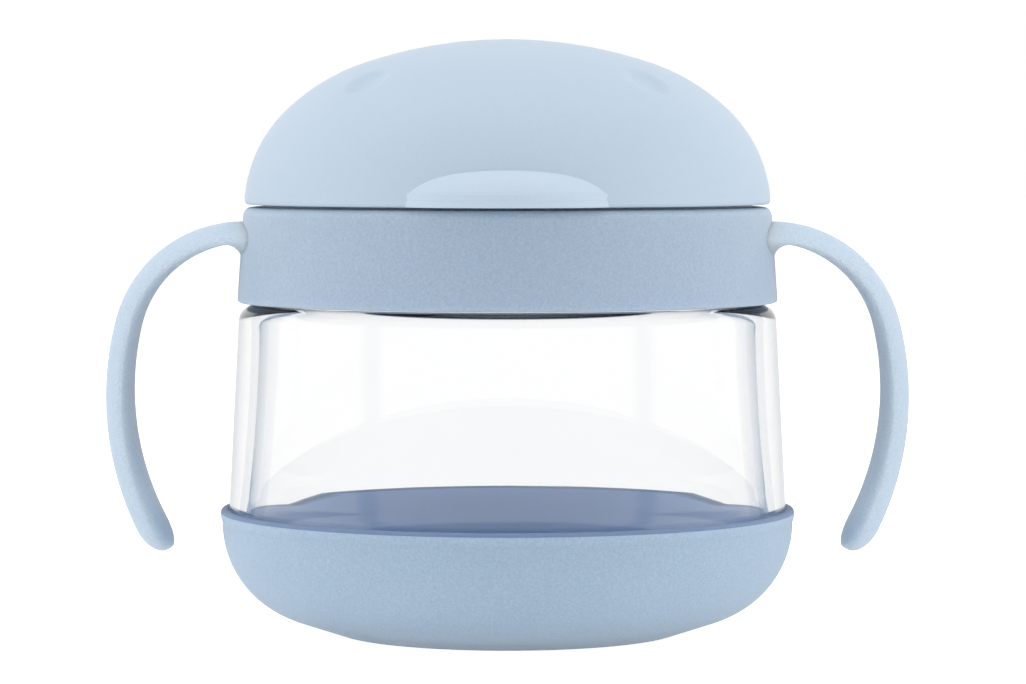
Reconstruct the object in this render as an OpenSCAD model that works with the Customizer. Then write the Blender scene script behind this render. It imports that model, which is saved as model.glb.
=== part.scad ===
// Toddler snack container. A clear jar stands in a soft base cup, a collar with
// two handles screws on to its neck, and a domed lid is hinged at the back.
// Millimetres, +Z up, origin on the floor under the centre of the foot.
// The handles lie along X and the thumb grip faces -Y.

/* [Base cup] */
// Wall of the base cup at its rim
rim_wall = 1.3; // [1:0.1:1.6]
// Wall of the base cup round its corner
base_wall = 1.3; // [1.1:0.1:1.6]
// Radius of the rounded corner under the wall
base_corner_r = 17.4; // [14:0.2:20]
// Height of the lowest point of that corner above the floor
base_rise = 1.9; // [1:0.1:2.4]
// Height of the straight side between the corner and the lip band
base_side_h = 0.6; // [0.4:0.1:6]
// Height of the lip band round the rim
band_h = 1.9; // [1:0.1:3]
// How far the lip band stands out from the wall
band_proud = 0.3; // [0.1:0.1:0.5]
// How far the flat foot ends inside the centre of the corner
foot_inset = 2.2; // [0:0.2:6]
// Gap between the jar and the base cup that holds it
seat_gap = 0.2; // [0.1:0.05:0.25]

/* [Foot pad] */
// Width of the foot that shows round the non-slip pad
foot_rim = 4; // [2:0.5:8]
// Thickness of the non-slip pad, most of it sunk in its recess
pad_h = 1.2; // [1:0.1:1.4]
// How far the pad stands below the foot
pad_proud = 0.1; // [0.1:0.1:0.5]

/* [Jar] */
// Height of the jar from its underside to its lip
jar_h = 65.6; // [60:0.1:76]
// Outer radius of the jar's neck, which everything else is built round
neck_r = 43.2; // [40:0.1:47]
// Height of the neck from the shoulder to the lip
neck_h = 11.6; // [10.5:0.1:14]
// How far the jar's side stands out from the neck at the shoulder
shoulder_step = 3.8; // [3.2:0.1:5]
// Radius of the shoulder
shoulder_r = 3; // [2.4:0.1:3.6]
// How much wider the jar gets from the shoulder down to the base cup
jar_flare = 1.7; // [0.5:0.1:3]
// Wall of the jar at the base cup's rim, from where it thins upwards
jar_wall = 3.6; // [3:0.1:4.2]
// Height of the slope that leads the inside into the neck
throat_h = 6.4; // [5:0.2:9]
// Wall of the jar's neck
neck_wall = 2.2; // [1.8:0.1:2.6]

/* [Thread] */
// Number of thread starts
starts = 3; // [2:1:4]
// Rise of one start in a full turn
lead = 9; // [7:0.5:10]
// Angle that each thread spans
thread_span = 108; // [60:6:114]
// Depth of the thread
thread_depth = 1.1; // [0.8:0.1:1.3]
// Height of the thread at its root
thread_root_h = 1.5; // [1.2:0.1:1.7]
// Height of the thread at its crest
thread_crest_h = 0.6; // [0.4:0.1:0.8]
// Radial gap between a thread's crest and the wall that it faces
thread_gap = 0.4; // [0.3:0.05:0.5]

/* [Spill guard] */
// Depth of the funnel below its flange
funnel_h = 11.5; // [7:0.5:13]
// How far the funnel narrows from its mouth to the hole that a hand reaches through
throat_step = 10.5; // [8:0.5:14]
// How far the funnel's mouth lies inside the hole in the collar's deck
mouth_step = 2.5; // [1.5:0.1:5]
// Wall of the funnel
guard_wall = 1.4; // [1:0.1:1.6]
// Thickness of the guard's flange
flange_h = 1.5; // [1.2:0.1:2]
// Thickness of the gasket under the flange
gasket_h = 1; // [0.8:0.1:1.4]

/* [Collar] */
// Gap between the jar's shoulder and the bottom of the collar
collar_gap = 0.4; // [0.4:0.1:2]
// Wall of the collar at its top
collar_top_wall = 1.35; // [1.2:0.05:3]
// Wall of the collar at its bottom
collar_bottom_wall = 2.5; // [1.8:0.1:4]
// Thickness of the collar's deck
deck_h = 2.3; // [2:0.1:2.8]
// Width of the deck inside the raised ring
deck_ledge = 1; // [0.8:0.1:3]
// Gap between the dome's wall and the raised ring on the deck
ring_gap = 1.2; // [1.1:0.1:1.6]
// Wall of the raised ring
ring_wall = 2; // [1.6:0.1:2.4]
// Height of the raised ring
ring_h = 3; // [2:0.1:3.4]
// Gap that keeps pieces on different bodies apart
running_gap = 0.3; // [0.25:0.05:0.35]

/* [Handles] */
// Drop of the handles' crest below the collar's top
handle_drop = 2.55; // [2:0.05:4]
// Length of the level stretch beside the collar
handle_level = 0.1; // [0:0.1:3]
// Radius of the handles' upper bend
bend_r = 23; // [18:0.5:25]
// Angle of the upper bend
bend_angle = 75; // [66:1:80]
// Radius of the long lower bend
grip_bend_r = 53.5; // [48:0.5:66]
// Angle of the long lower bend
grip_bend_angle = 47; // [38:1:50]
// Thickness of a handle beside the collar
handle_t = 3.8; // [3.4:0.1:5]
// Thickness of a handle near its free end
handle_end_t = 5.9; // [4.5:0.1:7]
// Half the width of a handle beside the collar
handle_half_w = 9.5; // [7:0.5:12]
// Half the width of a handle near its free end
handle_end_half_w = 7.5; // [5:0.5:10]
// Radius of the fillet under a handle's root
root_fillet = 4; // [2:0.5:5]
// Radius of the flare at each side of a handle's root
root_flare = 5; // [3:0.5:8]

/* [Lid] */
// How far the dome's side lies inside the top of the collar
dome_inset = 0.1; // [0:0.05:0.4]
// Radius of the dome's crown
crown_r = 78; // [70:0.5:90]
// Radius of the dome's shoulder, outside the crown
shoulder_bend_r = 36; // [33:0.5:39]
// Radius of the dome's side, below the shoulder
side_bend_r = 24; // [22:0.2:28]
// Angle above level at which the side meets the shoulder
side_angle = 46; // [42:0.5:48]
// Height below the rim at which the dome would be widest
side_drop = 0.9; // [0:0.1:2]
// Wall of the dome
dome_wall = 2; // [1.6:0.1:2.1]
// Gap between the collar's top and the dome's rim
seam_gap = 0.45; // [0.4:0.05:0.8]
// Radius of the curved edge of the thumb grip
grip_r = 23.2; // [22:0.2:28]
// How far the thumb grip stands out from the dome
grip_proud = 3.8; // [2.5:0.1:5]
// Height of the thumb grip's edge
grip_edge_h = 2.4; // [1.6:0.1:3]
// Height of the thumb grip
grip_h = 6.6; // [5.6:0.1:7]
// Radius of the thumb grip's rounded upper face
grip_face_r = 8.4; // [7.5:0.1:9.5]
// Radius of the two dimples on the crown
dimple_r = 4.4; // [4:0.1:5]
// Depth of the dimples
dimple_depth = 0.9; // [0.5:0.1:1.1]
// Distance of a dimple from the lid's axis
dimple_reach = 32.4; // [31.6:0.1:33]
// Angle of a dimple in front of the handles
dimple_angle = 43; // [20:1:60]
// Thickness of the ring that carries the lid's seal
skirt_t = 1.2; // [1:0.1:1.4]
// Height of the seal
seal_h = 1.8; // [1.6:0.1:2]
// Width of the seal
seal_w = 2.6; // [2.4:0.1:2.8]

/* [Hinge] */
// Radius of the hinge pin
pin_r = 1; // [0.8:0.1:1.2]
// Length of the hinge pin
pin_l = 23; // [20:0.5:30]
// Radius of the knuckles
knuckle_r = 3; // [2.6:0.1:3.2]
// Length of the lid's middle knuckle
knuckle_l = 11.4; // [9:0.2:13]
// Radial clearance between the pin and the lid's knuckle
pin_gap = 0.05; // [0.02:0.01:0.1]
// Radial clearance between the pin and the collar's knuckles
pin_fit = 0.02; // [0.01:0.01:0.03]

/* [Hidden] */
$fn = 96;

// Colours of the pieces
blue = [0.69, 0.76, 0.85];
pale_blue = [0.74, 0.81, 0.88];
soft_blue = [0.62, 0.70, 0.81];
clear = [0.85, 0.93, 0.96, 0.45];
milky = [0.90, 0.93, 0.95];
steel = [0.75, 0.76, 0.78];

// Angle by which a slice of a disc overlaps its neighbours
lap = 8;

// Radii of the jar and the base cup, from the neck outwards
jar_top_r = neck_r + shoulder_step;
jar_r = jar_top_r + jar_flare;
base_r = jar_r + seat_gap + rim_wall;

// Base cup
base_body_r = base_r - band_proud;
corner_x = base_body_r - base_corner_r;
corner_z = base_rise + base_corner_r;
base_h = corner_z + base_side_h + band_h;
foot_z = pad_proud;
foot_r = corner_x - foot_inset;
pad_r = foot_r - foot_rim;

// Jar
jar_corner_r = base_corner_r - base_wall - seat_gap;
jar_bottom_z = corner_z - jar_corner_r;
jar_wide_z = base_h + 0.2;
lip_z = jar_bottom_z + jar_h;
shoulder_top_z = lip_z - neck_h;
shoulder_x = jar_top_r - shoulder_r;
shoulder_z = shoulder_top_z - shoulder_r;
neck_bore_r = neck_r - neck_wall;
lip_soft_r = 0.6;

// Guard and collar, stacked up from the jar's lip
gasket_z = lip_z + running_gap;
flange_z = gasket_z + gasket_h;
deck_z = flange_z + flange_h + running_gap;
collar_top_z = deck_z + deck_h;
collar_bottom_z = shoulder_top_z + collar_gap;
collar_h = collar_top_z - collar_bottom_z;
bore_r = neck_r + thread_depth + thread_gap;
collar_top_r = bore_r + collar_top_wall;
collar_bottom_r = bore_r + collar_bottom_wall;
dome_r = collar_top_r - dome_inset;
flange_r = bore_r - 1.5;
gasket_w = neck_wall;
ring_r = dome_r - dome_wall - ring_gap;
ring_in_r = ring_r - ring_wall;
ring_top_z = collar_top_z + ring_h;
deck_hole_r = ring_in_r - deck_ledge;
mouth_r = deck_hole_r - mouth_step;
throat_r = mouth_r - throat_step;

// Thread: the collar's starts lie half a pitch below the jar's
pitch = lead / starts;
thread_step = 6;
thread_sink = 0.4;
thread_mid_z = shoulder_top_z + 3.9;

// Handles, measured from the collar's outer surface
crest_z = collar_top_z - handle_drop;
collar_slope = (collar_bottom_r - collar_top_r) / collar_h;
root_r = collar_top_r + collar_slope * handle_drop;
root_depth = 1.2;
bend_l = bend_r * bend_angle * PI / 180;
grip_bend_l = grip_bend_r * grip_bend_angle * PI / 180;
handle_l = handle_level + bend_l + grip_bend_l;
tip_l = 6;
wrap_l = 14;
section_sides = 24;

// Lid
rim_z = collar_top_z + seam_gap;
side_x = dome_r - side_bend_r;
side_z = rim_z - side_drop;
shoulder_bend_x = side_x - (shoulder_bend_r - side_bend_r) * cos(side_angle);
shoulder_bend_z = side_z - (shoulder_bend_r - side_bend_r) * sin(side_angle);
centre_gap = crown_r - shoulder_bend_r;
crown_z = shoulder_bend_z - sqrt(centre_gap * centre_gap - shoulder_bend_x * shoulder_bend_x);
join_angle = atan2(shoulder_bend_z - crown_z, shoulder_bend_x);
dome_h = crown_z + crown_r - rim_z;
grip_y = dome_r + grip_proud - grip_r;
seal_z = ring_top_z + running_gap;
seal_mid_r = ring_r - ring_wall / 2;
skirt_grip_h = 1;
seal_fit = [0.02, 0.02];

// Hinge
axis_z = collar_top_z + seam_gap / 2;
axis_y = dome_r + knuckle_r + running_gap;
side_knuckle_l = (pin_l - knuckle_l) / 2 - running_gap - 0.5;
side_knuckle_x = knuckle_l / 2 + running_gap;

// A slice of a disc, from angle a0 to angle a1, less than 180 degrees apart. Slices run
// on by the angle lap into the shapes that they meet, so that each outline is one piece.
module pie(centre, r, a0, a1) {
    reach = r / cos((a1 - a0) / 4) * 1.05;
    mid = (a0 + a1) / 2;
    translate(centre)
        intersection() {
            circle(r);
            polygon([
                [0, 0],
                reach * [cos(a0), sin(a0)],
                reach * [cos(mid), sin(mid)],
                reach * [cos(a1), sin(a1)]
            ]);
        }
}

// The outline through points [x, y, corner radius], with each corner rounded.
function unit(v) = v / norm(v);
function xy(p) = [p[0], p[1]];
function turn(a) = a > 180 ? a - 360 : (a < -180 ? a + 360 : a);
function corner(a, b, c, r, n) =
    let (u = unit(a - b), v = unit(c - b), half = acos(u * v) / 2)
    let (centre = b + unit(u + v) * r / sin(half), reach = r / tan(half))
    let (p = b + u * reach - centre, q = b + v * reach - centre)
    let (start = atan2(p[1], p[0]), sweep = turn(atan2(q[1], q[0]) - start))
    [for (i = [0 : n]) centre + r * [cos(start + sweep * i / n), sin(start + sweep * i / n)]];
function outline(points, n = 5) =
    let (count = len(points))
    [for (i = [0 : count - 1])
        let (a = points[(i + count - 1) % count], b = points[i], c = points[(i + 1) % count])
        each b[2] > 0 ? corner(xy(a), xy(b), xy(c), b[2], n) : [xy(b)]];

// Triangles that join rings of points into a closed tube.
function tube_faces(rings, sides) = concat(
    [for (i = [0 : rings - 2], j = [0 : sides - 1])
        [i * sides + j, i * sides + (j + 1) % sides, (i + 1) * sides + j]],
    [for (i = [0 : rings - 2], j = [0 : sides - 1])
        [i * sides + (j + 1) % sides, (i + 1) * sides + (j + 1) % sides, (i + 1) * sides + j]],
    [for (j = [1 : sides - 2]) [0, j + 1, j]],
    [for (j = [1 : sides - 2])
        [(rings - 1) * sides, (rings - 1) * sides + j, (rings - 1) * sides + j + 1]]);

// The same triangles, facing the other way.
function turned(faces) = [for (f = faces) [f[2], f[1], f[0]]];

// ---------------------------------------------------------------- base cup

// The base cup's outside, as half of its section.
module base_outside() {
    reach = norm([foot_r - corner_x, foot_z - corner_z]);
    to_foot = atan2(foot_z - corner_z, foot_r - corner_x);
    touch = to_foot + acos(base_corner_r / reach);
    pie([corner_x, corner_z], base_corner_r, touch - lap, lap);
    polygon([
        [0, foot_z],
        [foot_r, foot_z],
        [corner_x + base_corner_r * cos(touch), corner_z + base_corner_r * sin(touch)],
        [corner_x, corner_z],
        [base_body_r, corner_z],
        [base_body_r, base_h - band_h],
        [0, base_h - band_h]
    ]);
    polygon(outline([
        [0, base_h - band_h, 0],
        [base_r, base_h - band_h, 0.25],
        [base_r, base_h, 0.35],
        [0, base_h, 0]
    ]));
}

// The hollow that the jar stands in.
module base_inside() {
    inside_r = base_corner_r - base_wall;
    pie([corner_x, corner_z], inside_r, -90 - lap, lap);
    polygon([
        [0, corner_z - inside_r],
        [corner_x, corner_z - inside_r],
        [corner_x, corner_z],
        [corner_x + inside_r, corner_z],
        [jar_r + seat_gap, base_h],
        [jar_r + seat_gap, base_h + 1],
        [0, base_h + 1]
    ]);
}

module base_cup() {
    color(blue)
        rotate_extrude()
            difference() {
                base_outside();
                base_inside();
                square([pad_r, pad_h]);
            }
}

module foot_pad() {
    color(soft_blue)
        rotate_extrude()
            polygon(outline([
                [0, 0, 0],
                [pad_r, 0, 0.25],
                [pad_r, pad_h, 0],
                [0, pad_h, 0]
            ]));
}

// --------------------------------------------------------------------- jar

// The jar's outside, as half of its section.
module jar_outside() {
    pie([corner_x, corner_z], jar_corner_r, -90 - lap, lap);
    pie([shoulder_x, shoulder_z], shoulder_r, -lap, 90 + lap);
    polygon([
        [0, jar_bottom_z],
        [corner_x, jar_bottom_z],
        [corner_x, corner_z],
        [corner_x + jar_corner_r, corner_z],
        [jar_r, jar_wide_z],
        [jar_top_r, shoulder_z],
        [shoulder_x, shoulder_z],
        [shoulder_x, shoulder_top_z],
        [0, shoulder_top_z]
    ]);
    polygon(outline([
        [0, shoulder_z, 0],
        [neck_r, shoulder_z, 0],
        [neck_r, lip_z, lip_soft_r],
        [0, lip_z, 0]
    ]));
}

// The jar's inside narrows a little towards the top, then slopes in to the neck.
module jar_inside() {
    inside_r = jar_corner_r - jar_wall;
    pie([corner_x, corner_z], inside_r, -90 - lap, lap);
    polygon([
        [0, corner_z - inside_r],
        [corner_x, corner_z - inside_r],
        [corner_x, corner_z],
        [corner_x + inside_r, corner_z],
        [jar_r - jar_wall, jar_wide_z],
        [jar_top_r - jar_wall - 0.2, shoulder_top_z - throat_h],
        [neck_bore_r, shoulder_top_z],
        [neck_bore_r, lip_z + 1],
        [0, lip_z + 1]
    ]);
}

// One thread start, from its root radius out or in to its crest radius.
module thread_start(root, crest) {
    steps = floor(thread_span / thread_step);
    fade = 3;
    points = [for (i = [0 : steps])
        let (
            angle = i * thread_step,
            rise = lead * angle / 360,
            depth = min(1, (i + 0.3) / fade, (steps - i + 0.3) / fade),
            tip = root + (crest - root) * depth,
            crest_h = thread_crest_h / 2
        )
        each [for (p = [
            [root, -thread_root_h / 2],
            [tip, -crest_h],
            [tip, crest_h],
            [root, thread_root_h / 2]
        ]) [p[0] * cos(angle), p[0] * sin(angle), rise + p[1]]]];
    faces = tube_faces(steps + 1, 4);
    polyhedron(points, crest > root ? faces : turned(faces));
}

module thread(root, crest, z) {
    for (k = [0 : starts - 1])
        translate([0, 0, z])
            rotate([0, 0, 360 * k / starts])
                thread_start(root, crest);
}

module jar() {
    color(clear) {
        rotate_extrude()
            difference() {
                jar_outside();
                jar_inside();
            }
        thread(neck_r - thread_sink, neck_r + thread_depth, thread_mid_z);
    }
}

// ------------------------------------------------------------- spill guard

module jar_gasket() {
    color(milky)
        rotate_extrude()
            translate([neck_r - gasket_w, gasket_z])
                square([gasket_w - 0.2, gasket_h]);
}

module spill_guard() {
    slope = throat_step / funnel_h;
    wall_x = guard_wall * norm([throat_step, funnel_h]) / funnel_h;
    top_z = flange_z + flange_h;
    color(milky)
        rotate_extrude()
            polygon(outline([
                [flange_r, flange_z, 0.3],
                [flange_r, top_z, 0.3],
                [mouth_r, top_z, 1],
                [throat_r, top_z - funnel_h, 0.3],
                [throat_r + wall_x, top_z - funnel_h, 0.3],
                [throat_r + wall_x + (funnel_h - flange_h) * slope, flange_z, 0.6]
            ]));
}

// ------------------------------------------------------------------ collar

// Half of the collar's section.
module collar_shape() {
    difference() {
        polygon(outline([
            [deck_hole_r, deck_z - 1, 0],
            [deck_hole_r, collar_top_z, 0.5],
            [ring_in_r, collar_top_z, 0],
            [ring_in_r, ring_top_z, 0.6],
            [ring_r, ring_top_z, 0.6],
            [ring_r, collar_top_z, 0],
            [collar_top_r, collar_top_z, 1.5],
            [collar_bottom_r, collar_bottom_z, 0.5],
            [bore_r - 1, collar_bottom_z, 0]
        ]));
        translate([deck_hole_r - 1, collar_bottom_z - 1])
            square([bore_r - deck_hole_r + 1, deck_z - collar_bottom_z + 1]);
    }
}

// A hinge knuckle about the pin, joined to a wall in front of it.
module knuckle(length, web_low, web_high, web_y) {
    rotate([0, 90, 0])
        cylinder(r = knuckle_r, h = length);
    translate([0, web_y - axis_y, web_low])
        cube([length, axis_y - web_y, web_high - web_low]);
}

module collar() {
    web_y = bore_r + 0.4;
    color(blue)
        difference() {
            union() {
                rotate_extrude()
                    collar_shape();
                thread(bore_r + thread_sink, bore_r - thread_depth, thread_mid_z - pitch / 2);
                for (x = [side_knuckle_x, -side_knuckle_x - side_knuckle_l])
                    translate([x, axis_y, axis_z])
                        knuckle(side_knuckle_l, -knuckle_r, collar_top_z - axis_z, web_y);
            }
            translate([-pin_l, axis_y, axis_z])
                rotate([0, 90, 0])
                    cylinder(r = pin_r + pin_fit, h = 2 * pin_l);
        }
}

// ----------------------------------------------------------------- handles

// Direction of the crest line at a distance from the collar, in degrees from level.
function heading(s) =
    s < handle_level ? 0
    : s < handle_level + bend_l ? (s - handle_level) / bend_r * 180 / PI
    : bend_angle + (s - handle_level - bend_l) / grip_bend_r * 180 / PI;

// A point of the crest line, as [distance from the axis, height].
function crest(s) =
    let (
        level = min(s, handle_level),
        upper = min(heading(s), bend_angle),
        lower = heading(s),
        x = root_r + level + bend_r * sin(upper),
        z = crest_z - bend_r * (1 - cos(upper))
    )
    s < handle_level + bend_l ? [x, z]
    : [x + grip_bend_r * (sin(lower) - sin(bend_angle)),
       z - grip_bend_r * (cos(bend_angle) - cos(lower))];

// A quarter-round fillet of radius r, at a distance d from the wall that it meets.
function fillet(r, d) =
    let (e = r - min(max(d, 0), r))
    r - sqrt(max(r * r - e * e, 0));

// A handle's shape at a distance along it: half width, thickness and ridge depth.
function round_end(s) = sqrt(max(0, 1 - pow(max(0, s - handle_l + tip_l) / tip_l, 2)));
function half_width(s) =
    (handle_half_w + (handle_end_half_w - handle_half_w) * s / handle_l) * round_end(s)
    + fillet(root_flare, s);
function thickness(s) =
    (handle_t + (handle_end_t - handle_t) * s / handle_l) * (0.12 + 0.88 * round_end(s))
    + fillet(root_fillet, s);
function ridge_share(s) = 0.86 - 0.34 * s / handle_l;

// One ring of the handle. Near the collar the rings wrap round its surface.
function handle_ring(s) =
    let (
        w = half_width(s),
        t = thickness(s),
        ridge = ridge_share(s) * (t - fillet(root_fillet, s)),
        p = crest(s),
        a = heading(s),
        sink = (1 - round_end(s)) * handle_end_t * 0.55,
        wrap = pow(max(0, 1 - max(s, 0) / wrap_l), 2),
        power = 1.25 - 0.25 * wrap
    )
    [for (j = [0 : section_sides - 1])
        let (
            u = 360 * j / section_sides,
            across = sign(cos(u)) * pow(abs(cos(u)), power),
            along = pow(abs(sin(u)), power),
            y = w * across,
            depth = sink + (sin(u) >= 0 ? ridge * (1 - along) : ridge + (t - ridge) * along),
            curve = root_r - sqrt(root_r * root_r - min(y * y, root_r * root_r * 0.9)),
            leg = min(s, 0)
        )
        [p[0] + leg - depth * sin(a) - curve * wrap, y, p[1] - depth * cos(a)]];

// Distances along a handle at which it gets a ring.
function handle_stations() = concat(
    [-root_depth - 1, 0.02, 0.25, 0.8, 1.8, 3.2, 5],
    [for (k = [1 : 15]) 5 + (handle_l - tip_l - 5) * k / 15],
    [for (k = [1 : 6]) handle_l - tip_l + tip_l * sin(15 * k) * 0.999]);

module handle() {
    stations = handle_stations();
    points = [for (s = stations) each handle_ring(s)];
    difference() {
        polyhedron(points, turned(tube_faces(len(stations), section_sides)));
        translate([0, 0, collar_bottom_z])
            cylinder(r1 = collar_bottom_r, r2 = collar_top_r, h = collar_h);
    }
}

module right_handle() {
    color(blue)
        handle();
}

module left_handle() {
    color(blue)
        mirror([1, 0, 0])
            handle();
}

// --------------------------------------------------------------------- lid

// Half of the dome's section, drawn in by a wall of the given thickness. Three arcs
// meet in line: the crown, the shoulder and the side.
module dome_shape(wall) {
    skirt_drop = 9;
    intersection() {
        union() {
            pie([0, crown_z], crown_r - wall, join_angle, 90);
            pie([shoulder_bend_x, shoulder_bend_z], shoulder_bend_r - wall, side_angle,
                join_angle + lap);
            pie([side_x, side_z], side_bend_r - wall, -40, side_angle + lap);
            polygon([
                [0, side_z - skirt_drop],
                [side_x + 4, side_z - skirt_drop],
                [side_x + 4, side_z + 1],
                [side_x, side_z + 1],
                [shoulder_bend_x - 2, shoulder_bend_z + 3],
                [0, shoulder_bend_z + 3]
            ]);
        }
        translate([0, rim_z - wall])
            square([dome_r + 1, dome_h + wall]);
    }
}

// The thumb grip: an upright edge under a rounded upper face.
module thumb_grip() {
    edge_round = 0.3;
    face_z = grip_h - grip_face_r;
    rise = grip_edge_h - face_z;
    face_x = grip_r - edge_round - sqrt(grip_face_r * grip_face_r - rise * rise);
    translate([0, -grip_y, rim_z])
        rotate_extrude() {
            polygon(outline([
                [0, 0, 0],
                [grip_r, 0, 0.4],
                [grip_r, grip_edge_h, edge_round],
                [0, grip_edge_h, 0]
            ]));
            intersection() {
                translate([face_x, face_z])
                    circle(grip_face_r);
                translate([face_x - 1, grip_edge_h - 0.2])
                    square([grip_r, grip_h]);
            }
            square([face_x, grip_h]);
        }
}

// The ball that presses a dimple into the crown, on either side.
module dimple(side) {
    ball_r = (dimple_r * dimple_r + dimple_depth * dimple_depth) / (2 * dimple_depth);
    tilt = acos((dimple_reach - shoulder_bend_x) / shoulder_bend_r);
    reach = shoulder_bend_x + (shoulder_bend_r + ball_r - dimple_depth) * cos(tilt);
    translate([
        side * reach * cos(dimple_angle),
        -reach * sin(dimple_angle),
        shoulder_bend_z + (shoulder_bend_r + ball_r - dimple_depth) * sin(tilt)
    ])
        sphere(ball_r);
}

// Half of the lid's section: the dome, and the ring inside it that carries the seal.
module lid_shape() {
    difference() {
        dome_shape(0);
        dome_shape(dome_wall);
    }
    intersection() {
        translate([seal_mid_r - skirt_t / 2, seal_z + seal_h - skirt_grip_h])
            square([skirt_t, dome_h]);
        dome_shape(dome_wall / 2);
    }
}

module lid() {
    web_y = dome_r - dome_wall + 0.6;
    color(pale_blue) {
        difference() {
            rotate_extrude()
                lid_shape();
            for (side = [-1, 1])
                dimple(side);
        }
        difference() {
            thumb_grip();
            rotate_extrude()
                dome_shape(dome_wall / 2);
        }
        difference() {
            translate([-knuckle_l / 2, axis_y, axis_z])
                knuckle(knuckle_l, rim_z - axis_z, knuckle_r, web_y);
            translate([-knuckle_l, axis_y, axis_z])
                rotate([0, 90, 0])
                    cylinder(r = pin_r + pin_gap, h = 2 * knuckle_l);
        }
    }
}

module lid_seal() {
    half = seal_w / 2;
    color(milky)
        rotate_extrude()
            difference() {
                polygon(outline([
                    [seal_mid_r - half, seal_z, 0.5],
                    [seal_mid_r + half, seal_z, 0.5],
                    [seal_mid_r + half, seal_z + seal_h, 0.3],
                    [seal_mid_r - half, seal_z + seal_h, 0.3]
                ]));
                translate([seal_mid_r - skirt_t / 2, seal_z + seal_h - skirt_grip_h] - seal_fit)
                    square([skirt_t, skirt_grip_h + 1] + 2 * seal_fit);
            }
}

module hinge_pin() {
    color(steel)
        translate([-pin_l / 2, axis_y, axis_z])
            rotate([0, 90, 0])
                cylinder(r = pin_r, h = pin_l);
}

base_cup();
foot_pad();
jar();
jar_gasket();
spill_guard();
collar();
left_handle();
right_handle();
hinge_pin();
lid();
lid_seal();
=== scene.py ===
import math

import bpy
import numpy as np
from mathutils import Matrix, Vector


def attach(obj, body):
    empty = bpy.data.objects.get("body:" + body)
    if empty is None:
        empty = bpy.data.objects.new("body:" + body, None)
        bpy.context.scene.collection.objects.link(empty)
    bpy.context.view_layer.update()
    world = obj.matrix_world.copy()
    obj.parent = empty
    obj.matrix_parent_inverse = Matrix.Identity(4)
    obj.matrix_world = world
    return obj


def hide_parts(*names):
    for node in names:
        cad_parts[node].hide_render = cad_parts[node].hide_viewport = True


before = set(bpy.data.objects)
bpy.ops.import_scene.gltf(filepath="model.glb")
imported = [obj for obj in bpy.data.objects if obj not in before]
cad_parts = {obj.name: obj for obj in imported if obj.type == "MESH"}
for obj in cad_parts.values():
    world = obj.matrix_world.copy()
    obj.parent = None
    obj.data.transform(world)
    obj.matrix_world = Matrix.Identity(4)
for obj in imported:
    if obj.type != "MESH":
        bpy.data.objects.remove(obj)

MM = 0.001
HALF_PI = math.pi / 2
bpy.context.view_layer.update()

# ------------------------------------------------------------------ sizes, in millimetres
# They repeat the values of the part's source, except where a comment says otherwise.

# Base cup
BASE_R = 50.2  # at the rim
BASE_BODY_R = 49.9  # just under the soft band that carries the rim
BASE_H = 21.8
BASE_INSIDE_R = 48.9
BASE_CORNER_R = 17.4
BASE_WALL = 1.3
BAND_H = 1.3  # height of the soft band, of this script alone
FOOT_R, FOOT_Z = 30.3, 0.1
PAD_R, PAD_H = 26.3, 1.2

# Jar
CORNER_X, CORNER_Z = 32.5, 19.3  # centre of the lower round, for the base cup as well
JAR_CORNER_R = 15.9
JAR_WALL, NECK_WALL = 3.6, 2.1
JAR_R, JAR_WIDE_Z = 48.7, 22.0
JAR_TOP_R, SHOULDER_Z, SHOULDER_R = 47.0, 54.4, 3.0
SHOULDER_X = JAR_TOP_R - SHOULDER_R
SHOULDER_TOP_Z = SHOULDER_Z + SHOULDER_R
LEDGE_Z = 55.6  # a flat ledge inside, under the neck, where the source has a slope
NECK_R, LIP_Z = 43.2, 69.0

# Thread on the neck
THREAD_STARTS = 3
THREAD_Z = SHOULDER_TOP_Z + 3.9
LEAD, THREAD_SPAN, THREAD_DEPTH = 9.0, 108.0, 1.1
THREAD_HALF_H, THREAD_FLANK = 0.75, 0.5
THREAD_FADE = 18  # degrees over which a start runs out at either end

# Collar
COLLAR_TOP_Z, COLLAR_BOTTOM_Z = 74.4, 57.8
COLLAR_TOP_R, COLLAR_BOTTOM_R = 46.05, 47.2

# Lid: the dome is three tangent arcs, the crown, the shoulder and the side
RIM_Z, DOME_R, DOME_WALL = 74.85, 45.95, 2.0
CROWN_R, SHOULDER_BEND_R, SIDE_BEND_R = 78.0, 36.0, 24.0
SIDE_ANGLE = math.radians(46)
SIDE_X, SIDE_Z = DOME_R - SIDE_BEND_R, RIM_Z - 0.9
BEND_X = SIDE_X - (SHOULDER_BEND_R - SIDE_BEND_R) * math.cos(SIDE_ANGLE)
BEND_Z = SIDE_Z - (SHOULDER_BEND_R - SIDE_BEND_R) * math.sin(SIDE_ANGLE)
CROWN_Z = BEND_Z - math.sqrt((CROWN_R - SHOULDER_BEND_R) ** 2 - BEND_X ** 2)
JOIN_ANGLE = math.atan2(BEND_Z - CROWN_Z, BEND_X)
RIM_ROUND = 0.7  # of this script alone
SEAL_MID_R, SKIRT_T, SKIRT_BOTTOM_Z = 41.75, 1.2, 78.5

# Thumb grip, and the two dimples, which are 0.25 deeper than in the source
GRIP_R, GRIP_PROUD, GRIP_EDGE_H, GRIP_H, GRIP_FACE_R = 23.2, 3.8, 2.4, 6.6, 8.4
GRIP_Y = DOME_R + GRIP_PROUD - GRIP_R
GRIP_LOW_ROUND, GRIP_EDGE_ROUND = 0.4, 0.3
GRIP_STEP, GRIP_STEP_Z, GRIP_STEP_H = 0.1, 1.0, 0.12  # a fine step in the edge, of this script alone
GRIP_SINK = 0.9  # how far the grip reaches into the dome's wall
DIMPLE_R, DIMPLE_DEPTH, DIMPLE_REACH = 4.4, 1.15, 32.4
DIMPLE_ANGLE = math.radians(43)

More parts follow.
